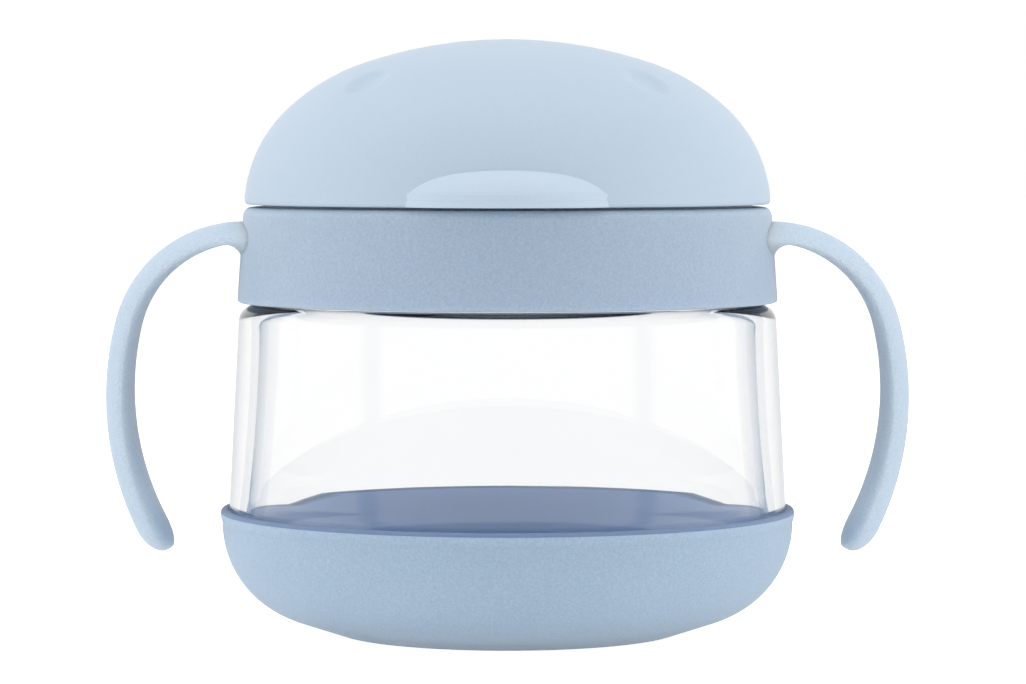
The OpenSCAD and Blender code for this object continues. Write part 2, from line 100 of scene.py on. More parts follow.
# Hinge
PIN_R, PIN_PLAY = 1.0, 0.05
KNUCKLE_R, KNUCKLE_L, KNUCKLE_BEVEL = 3.0, 11.4, 0.25
AXIS_Y, AXIS_Z = DOME_R + KNUCKLE_R + 0.3, 74.625

# Handles: the crest leaves the collar, bends through one arc and runs down another
HANDLE_DROP, HANDLE_LEVEL, BEND_R, BEND_ANGLE = 2.55, 0.1, 23.0, 75.0
GRIP_BEND_R, GRIP_BEND_ANGLE = 53.5, 47.0
HANDLE_T, HANDLE_END_T, HALF_W, END_HALF_W = 3.8, 5.9, 9.5, 7.5
ROOT_FILLET, ROOT_FLARE, TIP_L, WRAP_L = 4.0, 5.0, 6.0, 14.0
CREST_Z = COLLAR_TOP_Z - HANDLE_DROP
ROOT_R = COLLAR_TOP_R + (COLLAR_BOTTOM_R - COLLAR_TOP_R) / (COLLAR_TOP_Z - COLLAR_BOTTOM_Z) * HANDLE_DROP
BEND_L = BEND_R * math.radians(BEND_ANGLE)
HANDLE_L = HANDLE_LEVEL + BEND_L + GRIP_BEND_R * math.radians(GRIP_BEND_ANGLE)

# Faces round each turned piece, and round a handle's section
BASE_SIDES, JAR_SIDES, LID_SIDES, HANDLE_SIDES = 360, 288, 480, 96
ON_AXIS = 1e-6


# ------------------------------------------------------------------ mesh helpers
def add_mesh(name, points, faces, sharp):
    """A smooth-shaded piece whose edges are sharp over the given angle, in degrees."""
    mesh = bpy.data.meshes.new(name)
    mesh.from_pydata([tuple(float(c) * MM for c in p) for p in points], [], faces)
    mesh.validate()
    mesh.polygons.foreach_set("use_smooth", [True] * len(mesh.polygons))
    mesh.set_sharp_from_angle(angle=math.radians(sharp))
    piece = bpy.data.objects.new(name, mesh)
    bpy.context.scene.collection.objects.link(piece)
    return piece


def arc(cx, cz, r, a0, a1, steps, first=True):
    """Points along an arc, with or without its first one."""
    turns = [a0 + (a1 - a0) * i / steps for i in range(0 if first else 1, steps + 1)]
    return [(cx + r * math.cos(a), cz + r * math.sin(a)) for a in turns]


def line(p, q, steps):
    """Points along a line, without its first one."""
    return [tuple(a + (b - a) * i / steps for a, b in zip(p, q)) for i in range(1, steps + 1)]


def revolve(profile, sides, shift=None):
    """Points and faces of a profile turned about the axis. It may start and end on the axis.
    shift(angle, index, r, z) gives the radius and height to use instead."""
    points, faces, rows = [], [], []
    for i, (r, z) in enumerate(profile):
        if r < ON_AXIS:
            rows.append([len(points)])
            points.append((0.0, 0.0, z))
            continue
        row = []
        for j in range(sides):
            a = 2 * math.pi * j / sides
            rr, zz = shift(a, i, r, z) if shift else (r, z)
            row.append(len(points))
            points.append((rr * math.cos(a), rr * math.sin(a), zz))
        rows.append(row)
    for low, high in zip(rows, rows[1:]):
        if len(low) == 1 and len(high) == 1:
            continue
        for j in range(sides):
            k = (j + 1) % sides
            if len(low) == 1:
                faces.append((low[0], high[k], high[j]))
            elif len(high) == 1:
                faces.append((low[j], low[k], high[0]))
            else:
                faces.append((low[j], low[k], high[k], high[j]))
    return points, faces


def mark_inside(piece, profile, sides, start):
    """A mark of 1 on the points that come from the profile's later part, and of 0 on the others."""
    first = sum(1 if r < ON_AXIS else sides for r, z in profile[:start])
    mark = piece.data.attributes.new("inside", "FLOAT", "POINT")
    mark.data.foreach_set("value", [float(i >= first) for i in range(len(piece.data.vertices))])


def smooth_step(x):
    x = min(max(x, 0.0), 1.0)
    return x * x * (3 - 2 * x)


# ------------------------------------------------------------------ base cup
def make_base_cup():
    edge, rim_round, lip_round = 0.3, 0.6, 0.2
    # the pad's seat and the foot ring
    profile = [(0.0, PAD_H), (PAD_R - edge, PAD_H), (PAD_R, PAD_H)]
    profile += [(PAD_R, PAD_H - edge), (PAD_R, FOOT_Z + edge)]
    profile += arc(PAD_R + edge, FOOT_Z + edge, edge, math.pi, 1.5 * math.pi, 4, False)
    profile += line(profile[-1], (FOOT_R - 0.8, FOOT_Z), 3)
    profile += [(FOOT_R - 0.2, FOOT_Z + 0.03), (FOOT_R + 0.15, FOOT_Z + 0.15)]
    # the bowl: a straight flank that touches the corner's round
    reach = math.hypot(FOOT_R - CORNER_X, FOOT_Z - CORNER_Z)
    touch = math.atan2(FOOT_Z - CORNER_Z, FOOT_R - CORNER_X) + math.acos(BASE_CORNER_R / reach)
    start = (CORNER_X + BASE_CORNER_R * math.cos(touch), CORNER_Z + BASE_CORNER_R * math.sin(touch))
    profile += line(profile[-1], start, 6)
    profile += arc(CORNER_X, CORNER_Z, BASE_CORNER_R, touch, 0, 48, False)
    # the soft band and the rim
    for k in range(2, 9):
        z = CORNER_Z - 0.3 + 1.6 * k / 8
        swell = smooth_step((z - CORNER_Z) / BAND_H)
        profile.append((BASE_BODY_R + (BASE_R - BASE_BODY_R) * swell, z))
    profile += [(BASE_R, BASE_H - 0.75), (BASE_R - 0.04, BASE_H - rim_round)]
    profile += arc(BASE_R - rim_round, BASE_H - rim_round, rim_round, 0.2, HALF_PI, 8, False)
    profile += arc(BASE_INSIDE_R + lip_round, BASE_H - lip_round, lip_round, HALF_PI, math.pi, 4)
    # the inside
    inside_start = len(profile)
    inside_r = BASE_CORNER_R - BASE_WALL
    profile += line(profile[-1], (CORNER_X + inside_r, CORNER_Z), 6)
    profile += arc(CORNER_X, CORNER_Z, inside_r, 0, -HALF_PI, 36, False)
    profile += line(profile[-1], (0.0, CORNER_Z - inside_r), 6)
    points, faces = revolve(profile, BASE_SIDES)
    piece = add_mesh("soft_base_cup", points, faces, 40)
    mark_inside(piece, profile, BASE_SIDES, inside_start)
    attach(piece, "jar")
    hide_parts("base_cup")
    return piece


# ------------------------------------------------------------------ jar
def jar_profile():
    """From the middle of the underside, up the outside, over the lip and down the inside.
    The indices of the neck's first and last row and of the inside's first row go with it."""
    neck_round, lip_round, bore_round, ledge_in, ledge_out = 0.5, 0.6, 0.5, 0.3, 0.4
    outer = [(0.0, CORNER_Z - JAR_CORNER_R)]
    outer += line(outer[-1], (CORNER_X, CORNER_Z - JAR_CORNER_R), 4)
    outer += arc(CORNER_X, CORNER_Z, JAR_CORNER_R, -HALF_PI, 0, 24, False)
    outer += line(outer[-1], (JAR_R, JAR_WIDE_Z), 2)
    outer += line(outer[-1], (JAR_TOP_R, SHOULDER_Z), 6)
    shoulder_end = math.acos((NECK_R + neck_round - SHOULDER_X) / SHOULDER_R)
    outer += arc(SHOULDER_X, SHOULDER_Z, SHOULDER_R, 0, shoulder_end, 14, False)
    x, z = outer[-1]
    outer += arc(x, z + neck_round, neck_round, -HALF_PI, -math.pi, 4, False)
    neck_start = len(outer)
    outer += line(outer[-1], (NECK_R, THREAD_Z - 1.0), 4)
    outer += line(outer[-1], (NECK_R, THREAD_Z + 3.8), 40)
    outer += line(outer[-1], (NECK_R, LIP_Z - lip_round), 4)
    neck_end = len(outer)
    outer += arc(NECK_R - lip_round, LIP_Z - lip_round, lip_round, 0, HALF_PI, 5, False)

    bore = NECK_R - NECK_WALL
    ledge_r = JAR_TOP_R - JAR_WALL - 0.3
    inner = line(outer[-1], (bore + bore_round, LIP_Z), 1)
    inner += arc(bore + bore_round, LIP_Z - bore_round, bore_round, HALF_PI, math.pi, 4, False)
    inner += line(inner[-1], (bore, LEDGE_Z + ledge_in), 8)
    inner += arc(bore + ledge_in, LEDGE_Z + ledge_in, ledge_in, math.pi, 1.5 * math.pi, 4, False)
    inner += line(inner[-1], (ledge_r - ledge_out, LEDGE_Z), 3)
    inner += arc(ledge_r - ledge_out, LEDGE_Z - ledge_out, ledge_out, HALF_PI, 0, 5, False)
    inner += line(inner[-1], (JAR_R - JAR_WALL, JAR_WIDE_Z), 12)
    inner += line(inner[-1], (CORNER_X + JAR_CORNER_R - JAR_WALL, CORNER_Z), 2)
    inner += arc(CORNER_X, CORNER_Z, JAR_CORNER_R - JAR_WALL, 0, -HALF_PI, 24, False)
    inner += line(inner[-1], (0.0, CORNER_Z - JAR_CORNER_R + JAR_WALL), 4)
    return outer + inner, neck_start, neck_end, len(outer)


def thread_height(angle, z):
    """How far the neck's thread stands out at an angle and a height."""
    best = 0.0
    for k in range(THREAD_STARTS):
        a = (math.degrees(angle) - 360 / THREAD_STARTS * k) % 360
        if a > THREAD_SPAN:
            continue
        dz = abs(z - THREAD_Z - LEAD * a / 360)
        side = smooth_step((THREAD_HALF_H - dz) / THREAD_FLANK)
        fade = min(1.0, (a + 2) / THREAD_FADE, (THREAD_SPAN - a + 2) / THREAD_FADE)
        best = max(best, THREAD_DEPTH * side * smooth_step(fade))
    return best


def make_jar():
    profile, neck_start, neck_end, inside_start = jar_profile()

    def shift(a, i, r, z):
        return (r + thread_height(a, z) if neck_start <= i < neck_end else r), z

    points, faces = revolve(profile, JAR_SIDES, shift)
    piece = add_mesh("clear_jar", points, faces, 50)
    mark_inside(piece, profile, JAR_SIDES, inside_start)
    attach(piece, "jar")
    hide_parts("jar")
    piece.visible_shadow = False
    return piece


# ------------------------------------------------------------------ lid
def rounded(r, low):
    """How far a round of radius r has come out, at the distance low from where it ends."""
    return math.sqrt(max(r ** 2 - low ** 2, 0))


def grip_reach(height):
    """Radius of the thumb grip about its own axis at a height above the rim."""
    if height < GRIP_LOW_ROUND:
        return GRIP_R - GRIP_LOW_ROUND + rounded(GRIP_LOW_ROUND, GRIP_LOW_ROUND - height)
    if height < GRIP_EDGE_H - GRIP_EDGE_ROUND:
        return GRIP_R - GRIP_STEP * smooth_step((height - GRIP_STEP_Z) / GRIP_STEP_H)
    if height < GRIP_EDGE_H:
        low = height - GRIP_EDGE_H + GRIP_EDGE_ROUND
        return GRIP_R - GRIP_STEP - GRIP_EDGE_ROUND + rounded(GRIP_EDGE_ROUND, low)
    face_x = GRIP_R - GRIP_EDGE_ROUND - math.sqrt(
        GRIP_FACE_R ** 2 - (GRIP_FACE_R - GRIP_H + GRIP_EDGE_H) ** 2)
    return face_x + rounded(GRIP_FACE_R, height - GRIP_H + GRIP_FACE_R)


def dome_radius(height):
    """Outer radius of the dome's side at a height above the rim."""
    return SIDE_X + SIDE_BEND_R * math.cos(math.asin((RIM_Z + height - SIDE_Z) / SIDE_BEND_R))


def grip_heights():
    """Heights of the grip's rows above the rim, up to where its face sinks into the dome."""
    heights = [0.0, 0.02, 0.06, 0.12, 0.2, 0.3, 0.4, 0.7]
    heights += [1.0, 1.03, 1.06, 1.09, 1.12, 1.5, 1.9]
    edge_low = GRIP_EDGE_H - GRIP_EDGE_ROUND
    heights += [edge_low + GRIP_EDGE_ROUND * math.sin(HALF_PI * k / 6) for k in range(7)]
    top = GRIP_H
    while grip_reach(top) + GRIP_Y < dome_radius(top) - GRIP_SINK:
        top -= 0.005
    heights += [GRIP_EDGE_H + (top - GRIP_EDGE_H) * (1 - (1 - k / 40) ** 1.6) for k in range(1, 41)]
    return heights


def make_grip():
    """The thumb grip is a crescent that reaches out of the dome's wall."""
    heights = grip_heights()
    points, faces, half = [], [], 90
    for height in heights:
        reach, back = grip_reach(height), dome_radius(height) - GRIP_SINK
        # where the grip's circle meets the circle inside the dome's wall
        along = (back ** 2 + GRIP_Y ** 2 - reach ** 2) / (2 * GRIP_Y)
        along = min(along, back - 1e-4)
        out_end = math.acos(max(min((along - GRIP_Y) / reach, 1.0), -1.0))
        back_end = math.acos(along / back)
        for k in range(-half, half + 1):
            t = out_end * math.sin(HALF_PI * k / half)
            points.append((reach * math.sin(t), -GRIP_Y - reach * math.cos(t), RIM_Z + height))
        for k in range(half - 1, -half, -1):
            t = back_end * math.sin(HALF_PI * k / half)
            points.append((back * math.sin(t), -back * math.cos(t), RIM_Z + height))
    n = 4 * half
    for i in range(len(heights) - 1):
        for j in range(n):
            k = (j + 1) % n
            faces.append((i * n + j, i * n + k, (i + 1) * n + k, (i + 1) * n + j))
    # the two ends, in strips from the outer line to the back line
    for first, flip in ((0, True), ((len(heights) - 1) * n, False)):
        for k in range(2 * half):
            a, b = first + k, first + k + 1
            c, d = first + (n - k - 1) % n, first + (n - k) % n
            face = [a, b, c] if k == 0 else [a, b, d] if k == 2 * half - 1 else [a, b, c, d]
            faces.append(tuple(reversed(face)) if flip else tuple(face))
    piece = add_mesh("thumb_grip", points, faces, 28)
    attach(piece, "lid")
    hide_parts("lid")
    return piece


def dome_outline():
    """The dome's outer line from the crown to the rim, with its outward direction."""
    outline = []
    for i in range(0, 37):
        a = HALF_PI + (JOIN_ANGLE - HALF_PI) * i / 36
        outline.append((CROWN_R * math.cos(a), CROWN_Z + CROWN_R * math.sin(a), a))
    for i in range(1, 41):
        a = JOIN_ANGLE + (SIDE_ANGLE - JOIN_ANGLE) * i / 40
        r, z = SHOULDER_BEND_R * math.cos(a), SHOULDER_BEND_R * math.sin(a)
        outline.append((BEND_X + r, BEND_Z + z, a))
    top_z = SIDE_Z + SIDE_BEND_R * math.sin(SIDE_ANGLE)
    for i in range(1, 71):
        z = top_z + (RIM_Z + RIM_ROUND - top_z) * (1 - (1 - i / 70) ** 1.15)
        a = math.asin((z - SIDE_Z) / SIDE_BEND_R)
        outline.append((SIDE_X + SIDE_BEND_R * math.cos(a), z, a))
    return outline


def dome_inside():
    """The lid's inner line from the rim to the crown, with the skirt that holds the seal."""
    side_r, bevel = SIDE_BEND_R - DOME_WALL, 0.2
    skirt_out, skirt_in = SEAL_MID_R + SKIRT_T / 2, SEAL_MID_R - SKIRT_T / 2
    rim_angle = math.asin((RIM_Z - SIDE_Z) / side_r)
    out_angle, in_angle = (math.acos((r - SIDE_X) / side_r) for r in (skirt_out, skirt_in))
    inner = [(SIDE_X + side_r * math.cos(rim_angle) + 0.3, RIM_Z)]
    inner += arc(SIDE_X, SIDE_Z, side_r, rim_angle + 0.02, out_angle, 12)
    inner += [(skirt_out, SKIRT_BOTTOM_Z + bevel), (skirt_out - bevel, SKIRT_BOTTOM_Z)]
    inner += [(skirt_in + bevel, SKIRT_BOTTOM_Z), (skirt_in, SKIRT_BOTTOM_Z + bevel)]
    inner += arc(SIDE_X, SIDE_Z, side_r, in_angle, SIDE_ANGLE, 6)
    inner += arc(BEND_X, BEND_Z, SHOULDER_BEND_R - DOME_WALL, SIDE_ANGLE, JOIN_ANGLE, 20, False)
    inner += arc(0.0, CROWN_Z, CROWN_R - DOME_WALL, JOIN_ANGLE, HALF_PI, 18, False)
    return inner


def make_lid():
    outline = dome_outline()
    edge_r = outline[-1][0]
    profile = [(r, z) for r, z, a in outline]
    profile += [(edge_r, RIM_Z + h) for h in (0.5, 0.35, 0.22, 0.12, 0.05, 0.0)]
    outer_count = len(profile)
    profile += dome_inside()
    for end in (0, -1):
        profile[end] = (0.0, profile[end][1])

    dimple_z = BEND_Z + SHOULDER_BEND_R * math.sin(math.acos((DIMPLE_REACH - BEND_X) / SHOULDER_BEND_R))
    dimple_x, dimple_y = DIMPLE_REACH * math.cos(DIMPLE_ANGLE), DIMPLE_REACH * math.sin(DIMPLE_ANGLE)
    dimples = [np.array([side * dimple_x, -dimple_y, dimple_z]) for side in (-1, 1)]

    def shift(a, i, r, z):
        if i >= outer_count:
            return r, z
        height = z - RIM_Z
        if height < RIM_ROUND:
            return edge_r - RIM_ROUND + rounded(RIM_ROUND, RIM_ROUND - height), z
        direction = outline[i][2] if i < len(outline) else 0.0
        here = np.array([r * math.cos(a), r * math.sin(a), z])
        drop = 0.0
        for centre in dimples:
            x = float(np.linalg.norm(here - centre)) / DIMPLE_R
            if x < 1.0:
                bowl = max(1 - x * x, 0.0)
                drop += DIMPLE_DEPTH * bowl * (0.55 + 0.45 * smooth_step(bowl * 1.4))
        return r - drop * math.cos(direction), z - drop * math.sin(direction)

    points, faces = revolve(profile, LID_SIDES, shift)
    outward = [tuple(reversed(face)) for face in faces]
    piece = add_mesh("domed_lid", points, outward, 40)
    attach(piece, "lid")
    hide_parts("lid")
    return piece


def make_knuckle():
    """The lid's middle hinge knuckle: a bored barrel with a web that runs into the dome."""
    web_back, web_low, web_high = -(AXIS_Y - (DOME_R - DOME_WALL + 0.6)), RIM_Z - AXIS_Z, KNUCKLE_R
    angles = [2 * math.pi * i / 72 for i in range(72)]
    angles += [math.atan2(web_high, web_back), math.atan2(web_low, web_back)]
    angles = sorted(set(round(a, 6) for a in angles))

    def reach(a):
        """Radius of the outline: the barrel, and the web's corner behind and above it."""
        c, s = math.cos(a), math.sin(a)
        if c < 0 < s and s / -c >= web_low / -web_back:
            return max(KNUCKLE_R, min(web_back / c, web_high / s))
        return KNUCKLE_R

    outside = [(reach(a) * math.cos(a), reach(a) * math.sin(a)) for a in angles]
    inside = [((PIN_R + PIN_PLAY) * math.cos(a), (PIN_R + PIN_PLAY) * math.sin(a)) for a in angles]
    half, bevel, n = KNUCKLE_L / 2, KNUCKLE_BEVEL, len(angles)
    rings = [
        (-half, inside, 0), (-half, outside, -bevel), (-half + bevel, outside, 0),
        (half - bevel, outside, 0), (half, outside, -bevel), (half, inside, 0),
    ]
    points, faces = [], []
    for x, ring, grow in rings:
        for y, z in ring:
            length = math.hypot(y, z)
            share = (length + grow) / length
            points.append((x, AXIS_Y + y * share, AXIS_Z + z * share))
    for i in range(len(rings)):
        a, b = i * n, ((i + 1) % len(rings)) * n
        for j in range(n):
            k = (j + 1) % n
            faces.append((a + j, b + j, b + k, a + k))
    piece = add_mesh("lid_knuckle", points, faces, 35)
    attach(piece, "lid")
    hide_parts("lid")
    return piece


# ------------------------------------------------------------------ handles
def heading(s):
    """How far the crest has turned down, in degrees, at the length s from the collar."""
    if s < HANDLE_LEVEL:
        return 0.0
    if s < HANDLE_LEVEL + BEND_L:
        return math.degrees((s - HANDLE_LEVEL) / BEND_R)
    return BEND_ANGLE + math.degrees((s - HANDLE_LEVEL - BEND_L) / GRIP_BEND_R)


def crest(s):
    """The crest's place at the length s from the collar."""
    upper, lower = math.radians(min(heading(s), BEND_ANGLE)), math.radians(heading(s))
    full = math.radians(BEND_ANGLE)
    x = ROOT_R + min(s, HANDLE_LEVEL) + BEND_R * math.sin(upper)
    z = CREST_Z - BEND_R * (1 - math.cos(upper))
    if s < HANDLE_LEVEL + BEND_L:
        return x, z
    along = GRIP_BEND_R * (math.sin(lower) - math.sin(full))
    return x + along, z - GRIP_BEND_R * (math.cos(full) - math.cos(lower))


def fillet(r, d):
    """How much a fillet of radius r adds at the distance d from its foot."""
    e = r - min(max(d, 0.0), r)
    return r - math.sqrt(max(r * r - e * e, 0.0))


def round_end(s):
    """1 along the handle, and down to 0 over its rounded tip."""
    return math.sqrt(max(0.0, 1 - (max(0.0, s - HANDLE_L + TIP_L) / TIP_L) ** 2))


def handle_ring(s):
    """The handle's lens-shaped section at the length s from the collar."""
    share, end = s / HANDLE_L, round_end(s)
    w = (HALF_W + (END_HALF_W - HALF_W) * share) * end + fillet(ROOT_FLARE, s)
    bar_t = (HANDLE_T + (HANDLE_END_T - HANDLE_T) * share) * (0.12 + 0.88 * end)
    t = bar_t + fillet(ROOT_FILLET, s)
    ridge = (0.86 - 0.34 * share) * (t - fillet(ROOT_FILLET, s))
    px, pz = crest(s)
    a = math.radians(heading(s))
    sink = (1 - end) * HANDLE_END_T * 0.55
    wrap = max(0.0, 1 - max(s, 0.0) / WRAP_L) ** 2
    power = 1.25 - 0.25 * wrap
    ring = []
    for j in range(HANDLE_SIDES):
        u = 2 * math.pi * j / HANDLE_SIDES
        y = w * math.copysign(abs(math.cos(u)) ** power, math.cos(u))
        along = abs(math.sin(u)) ** power
        depth = sink + (ridge * (1 - along) if math.sin(u) >= 0 else ridge + (t - ridge) * along)
        curve = ROOT_R - math.sqrt(ROOT_R ** 2 - min(y * y, ROOT_R ** 2 * 0.9))
        x = px + min(s, 0.0) - depth * math.sin(a) - curve * wrap
        ring.append((x, y, pz - depth * math.cos(a)))
    return ring


def make_handle(name, side):
    flare_end, body_steps, tip_steps = 3.8, 76, 20
    stations = [-0.35, 0.02, 0.12, 0.3, 0.55, 0.85, 1.2, 1.7, 2.3, 3.0, flare_end]
    body = HANDLE_L - TIP_L - flare_end
    stations += [flare_end + body * k / body_steps for k in range(1, body_steps + 1)]
    for k in range(1, tip_steps + 1):
        stations.append(HANDLE_L - TIP_L + TIP_L * math.sin(math.radians(90 * k / tip_steps)) * 0.9995)
    points, faces, n = [], [], HANDLE_SIDES
    for s in stations:
        points += [(side * x, y, z) for x, y, z in handle_ring(s)]
    for i in range(len(stations) - 1):
        for j in range(n):
            k = (j + 1) % n
            faces.append((i * n + j, i * n + k, (i + 1) * n + k, (i + 1) * n + j))
    last = (len(stations) - 1) * n
    faces += [tuple(reversed(range(n))), tuple(range(last, last + n))]
    if side < 0:
        faces = [tuple(reversed(face)) for face in faces]
    piece = add_mesh(name, points, faces, 50)
    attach(piece, "collar")
    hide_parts(name.replace("_grip", "_handle"))
    return piece


# ------------------------------------------------------------------ material helpers
def srgb(r, g, b):
    def lin(c):
        c /= 255
        return c / 12.92 if c <= 0.04045 else ((c + 0.055) / 1.055) ** 2.4
    return (lin(r), lin(g), lin(b), 1.0)


def shade(colour, share):
    return tuple(min(c * share, 1.0) for c in colour[:3]) + (1.0,)


def node(tree, kind, **values):
    """A new node with the given inputs and settings."""
    made = tree.nodes.new(kind)
    for key, value in values.items():
        if key in made.inputs:
            made.inputs[key].default_value = value
        else:
            setattr(made, key, value)
    return made


def start_material(name):
    material = bpy.data.materials.new(name)
    material.use_nodes = True
    tree = material.node_tree
    return material, tree, tree.nodes["Principled BSDF"], node(tree, "ShaderNodeTexCoord")


def noise(tree, coords, scale, detail=2.0, rough=0.5):
    made = node(tree, "ShaderNodeTexNoise", Scale=scale, Detail=detail, Roughness=rough)
    tree.links.new(coords.outputs["Object"], made.inputs["Vector"])
    return made.outputs["Fac"]


def remap(tree, source, low, high, out_low, out_high):
    made = node(tree, "ShaderNodeMapRange")
    limits = (("From Min", low), ("From Max", high), ("To Min", out_low), ("To Max", out_high))
    for key, value in limits:
        made.inputs[key].default_value = value
    tree.links.new(source, made.inputs["Value"])
    return made.outputs["Result"]


def mix(tree, factor, a, b):
    """A mix of two colours, each a value or an output."""
    made = tree.nodes.new("ShaderNodeMix")
    made.data_type = "RGBA"
    for socket, value in ((6, a), (7, b)):
        if isinstance(value, tuple):
            made.inputs[socket].default_value = value
        else:
            tree.links.new(value, made.inputs[socket])
    tree.links.new(factor, made.inputs[0])
    return made.outputs[2]


def calculate(tree, operation, a, b):
    made = node(tree, "ShaderNodeMath", operation=operation, use_clamp=operation == "SUBTRACT")
    tree.links.new(a, made.inputs[0])
    tree.links.new(b, made.inputs[1])
    return made.outputs[0]


def bump(tree, height, strength, distance):
    made = node(tree, "ShaderNodeBump", Strength=strength, Distance=distance)
    tree.links.new(height, made.inputs["Height"])
    return made.outputs["Normal"]


def inside_mark(tree):
    return node(tree, "ShaderNodeAttribute", attribute_name="inside").outputs["Fac"]


# ------------------------------------------------------------------ materials
def plastic_parts(name, colour, rough, grain, specular, sheen=0.0, depth=0.0, share=0.7,
                  scatter=(0.8, 1.0, 1.25)):
    """Moulded plastic: a fine grain in colour and height, and a faint cloudiness.
    depth is how far light wanders inside it, in millimetres."""
    material, tree, shader, coords = start_material(name)
    fine = noise(tree, coords, 2600, 3.0, 0.6)
    cloud = noise(tree, coords, 38, 3.0)
    speck = remap(tree, fine, 0.32, 0.68, 0.0, 1.0)
    haze = remap(tree, cloud, 0.35, 0.65, 0.0, 1.0)
    plain = mix(tree, speck, shade(colour, 1 - grain), shade(colour, 1 + grain))
    cloudy = mix(tree, speck, shade(colour, 0.985 - grain), shade(colour, 0.985 + grain))
    base = mix(tree, haze, plain, cloudy)
    tree.links.new(base, shader.inputs["Base Color"])
    tree.links.new(remap(tree, fine, 0.3, 0.7, rough - 0.05, rough + 0.06), shader.inputs["Roughness"])
    tree.links.new(bump(tree, fine, 0.4, 0.00006), shader.inputs["Normal"])
    shader.inputs["Specular IOR Level"].default_value = specular
    if depth:
        shader.inputs["Subsurface Weight"].default_value = share
        shader.inputs["Subsurface Radius"].default_value = scatter
        shader.inputs["Subsurface Scale"].default_value = depth * MM
    if sheen:
        shader.inputs["Sheen Weight"].default_value = sheen
        shader.inputs["Sheen Roughness"].default_value = 0.5
    return material, tree, shader, coords, base


def plastic(*parts, **settings):
    return plastic_parts(*parts, **settings)[0]


def clear_glass():
    """Clear glass, painted dark blue where the outer surface turns away: a painted shade for the darker
    surroundings seen in a glass edge, together with the longer path through the wall.
    """
    material, tree, shader, coords = start_material("clear_glass")
    flow = noise(tree, coords, 55)
    clear = mix(tree, remap(tree, flow, 0.3, 0.7, 0.0, 1.0), (0.997, 0.999, 1.0, 1.0), (1.0, 1.0, 1.0, 1.0))
    facing = node(tree, "ShaderNodeLayerWeight", Blend=0.5)
    edge = remap(tree, facing.outputs["Facing"], 0.72, 1.0, 0.0, 1.0)
    edge_shade = calculate(tree, "SUBTRACT", edge, inside_mark(tree))
    # Painted shade at the outer edge: the colour turns dark blue where the surface turns away.
    tree.links.new(mix(tree, edge_shade, clear, (0.08, 0.22, 0.36, 1.0)), shader.inputs["Base Color"])
    tree.links.new(remap(tree, flow, 0.3, 0.7, 0.0, 0.02), shader.inputs["Roughness"])
    tree.links.new(bump(tree, flow, 0.04, 0.0002), shader.inputs["Normal"])
    shader.inputs["Transmission Weight"].default_value = 1.0
    shader.inputs["IOR"].default_value = 1.5
    shader.inputs["Specular IOR Level"].default_value = 0.12
    return material


def base_cup_material():
    """Soft matt elastomer. Its rounded rim is painted dark slate, a painted shade for the shaded gap under
    the jar, and its inside a lighter blue, painted light for light that reaches it through the jar.
    """
    material, tree, shader, coords, base = plastic_parts(
        "soft_elastomer", srgb(180, 197, 213), 0.6, 0.09, 0.3, sheen=0.1, depth=2.0)
    split = node(tree, "ShaderNodeSeparateXYZ")
    tree.links.new(coords.outputs["Object"], split.inputs[0])
    inside = inside_mark(tree)
    # Painted shade: the rim's rounded top, above 21.15 mm, is painted dark slate for the shade in the gap
    # under the jar.
    rim = remap(tree, split.outputs["Z"], 0.02112, 0.02118, 0.0, 1.0)
    # Painted light: the inside is painted a lighter blue than the outside, for light that reaches it through
    # the jar.
    rim_shade_inside_light = mix(tree, inside, srgb(128, 144, 172), srgb(178, 207, 243))
    shade_and_light_mask = calculate(tree, "MAXIMUM", rim, inside)
    tree.links.new(mix(tree, shade_and_light_mask, base, rim_shade_inside_light), shader.inputs["Base Color"])
    return material


def steel():
    """Drawn steel, with fine lines along the pin."""
    material, tree, shader, coords = start_material("drawn_steel")
    stretch = node(tree, "ShaderNodeMapping", Scale=(1.0, 0.02, 0.02))
    tree.links.new(coords.outputs["Object"], stretch.inputs["Vector"])
    drawn = node(tree, "ShaderNodeTexNoise", Scale=9000)
    tree.links.new(stretch.outputs[0], drawn.inputs["Vector"])
    lines = drawn.outputs["Fac"]
    tree.links.new(mix(tree, lines, (0.62, 0.63, 0.65, 1), (0.78, 0.79, 0.8, 1)), shader.inputs["Base Color"])
    tree.links.new(remap(tree, lines, 0.3, 0.7, 0.22, 0.38), shader.inputs["Roughness"])
    shader.inputs["Metallic"].default_value = 1.0
    return material


def paint(material, *targets):
    """Gives a material to pieces of this script, or to CAD nodes by their names."""
    for target in targets:
        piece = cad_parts[target] if isinstance(target, str) else target
        if piece.material_slots:
            for slot in piece.material_slots:
                slot.material = material
        else:
            piece.data.materials.append(material)


cup = make_base_cup()
jar = make_jar()
lid = make_lid()
thumb = make_grip()
knuckle = make_knuckle()
right_grip = make_handle("right_grip", 1)
left_grip = make_handle("left_grip", -1)

paint(plastic("body_polypropylene", srgb(180, 194, 209), 0.45, 0.09, 0.35, depth=2.5), "collar")
# Painted light: the handles take a paler copy of the collar's plastic, which brightens their shaded inner
# faces.
paint(plastic("handle_polypropylene", srgb(193, 206, 219), 0.45, 0.09, 0.35, depth=7.0, share=0.95,
              scatter=(0.96, 1.0, 1.04)), right_grip, left_grip)
paint(plastic("lid_polypropylene", srgb(197, 210, 222), 0.45, 0.018, 0.35), lid, knuckle)
